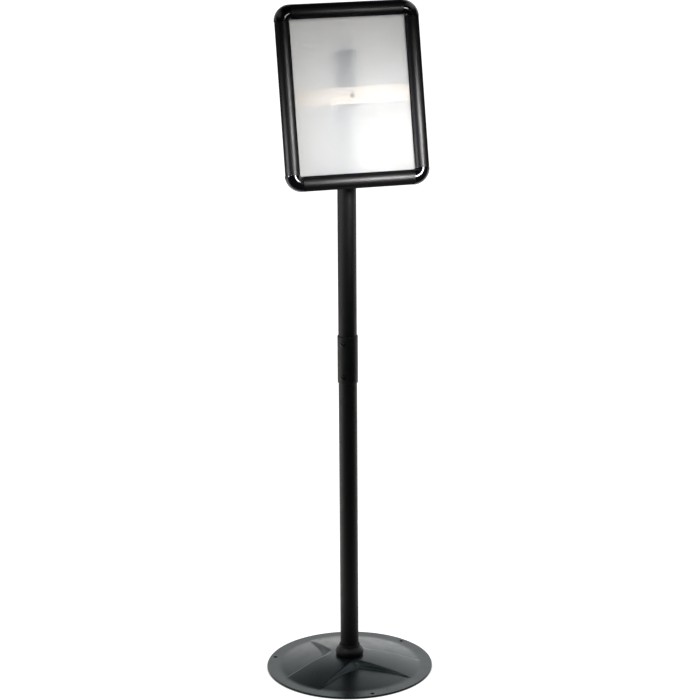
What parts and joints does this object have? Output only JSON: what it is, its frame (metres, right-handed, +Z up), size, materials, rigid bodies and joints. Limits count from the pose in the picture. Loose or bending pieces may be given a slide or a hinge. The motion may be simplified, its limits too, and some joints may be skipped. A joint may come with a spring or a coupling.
{
  "type": "sign stand",
  "caption": "Floor-standing sign holder: round pressed base, two-piece black tube mast and a tilting, turning snap frame with a frosted panel.",
  "frame": {"origin": "on the floor, at the centre of the base, on the mast's axis", "axes": "+Z up along the mast; the sign faces -Y, leaning back towards +Y; +X to the sign's right as seen from the front"},
  "size_m": [0.29, 0.29, 1.1767],
  "materials": {
    "base_enamel": "dark grey satin enamel",
    "mast_black": "satin black powder coat",
    "boot_plastic": "matt black moulded plastic",
    "fastener_zinc": "zinc plated",
    "screw_black": "black oxide, worn bright in the slot",
    "nylon": "natural nylon",
    "bar_white": "warm white semi-gloss paint",
    "track_black": "black anodised",
    "rail_black": "black anodised, satin",
    "cap_gloss": "glossy black",
    "spring_steel": "spring steel",
    "cover_film": "clear non-glare film",
    "frosted_sheet": "frosted translucent sheet"
  },
  "bodies": {
    "mast": {"base_plate": "base_enamel", "base_bolt": "fastener_zinc", "base_washer": "fastener_zinc", "foot_insert": "fastener_zinc", "base_boot": "boot_plastic", "lower_tube": "mast_black", "coupling_sleeve": "mast_black", "sleeve_screws": "screw_black", "sleeve_nuts": "fastener_zinc", "upper_tube": "mast_black", "tube_cap": "boot_plastic", "head_bracket": "mast_black", "bracket_screws": "screw_black", "bracket_nuts": "fastener_zinc", "tilt_bolt": "fastener_zinc", "tilt_washers": "fastener_zinc", "tilt_nut": "fastener_zinc"},
    "tilt_head": {"tilt_plate": "mast_black", "friction_washer": "nylon"},
    "sign_frame": {"crossbar": "bar_white", "crossbar_screws": "fastener_zinc", "pivot_screw": "fastener_zinc", "pivot_washer": "fastener_zinc", "pivot_nut": "fastener_zinc", "track_left": "track_black", "track_right": "track_black", "track_top": "track_black", "track_bottom": "track_black", "corner_cap_top_left": "cap_gloss", "corner_cap_top_right": "cap_gloss", "corner_cap_bottom_left": "cap_gloss", "corner_cap_bottom_right": "cap_gloss", "corner_keys": "fastener_zinc", "rail_springs": "spring_steel", "cover_sheet": "cover_film", "back_sheet": "frosted_sheet"},
    "rail_left": {"snap_rail_left": "rail_black"},
    "rail_right": {"snap_rail_right": "rail_black"},
    "rail_top": {"snap_rail_top": "rail_black"},
    "rail_bottom": {"snap_rail_bottom": "rail_black"}
  },
  "joints": [
    {"name": "sign_tilt", "type": "hinge", "parent": "mast", "child": "tilt_head", "pos_m": [0, -0.02252, 1.02377], "axis": [1, 0, 0], "range_deg": [0, 19]},
    {"name": "sign_turn", "type": "hinge", "parent": "tilt_head", "child": "sign_frame", "pos_m": [0, -0.03368, 1.02655], "axis": [0, -0.9703, 0.2419], "range_deg": [-90, 90]},
    {"name": "rail_left_hinge", "type": "hinge", "parent": "sign_frame", "child": "rail_left", "pos_m": [-0.1206, -0.03853, 1.02776], "axis": [0, -0.2419, -0.9703], "range_deg": [0, 90]},
    {"name": "rail_right_hinge", "type": "hinge", "parent": "sign_frame", "child": "rail_right", "pos_m": [0.1206, -0.03853, 1.02776], "axis": [0, 0.2419, 0.9703], "range_deg": [0, 90]},
    {"name": "rail_top_hinge", "type": "hinge", "parent": "sign_frame", "child": "rail_top", "pos_m": [0, -0.0021, 1.17389], "axis": [-1, 0, 0], "range_deg": [0, 90]},
    {"name": "rail_bottom_hinge", "type": "hinge", "parent": "sign_frame", "child": "rail_bottom", "pos_m": [0, -0.07496, 0.88163], "axis": [1, 0, 0], "range_deg": [0, 90]}
  ]
}
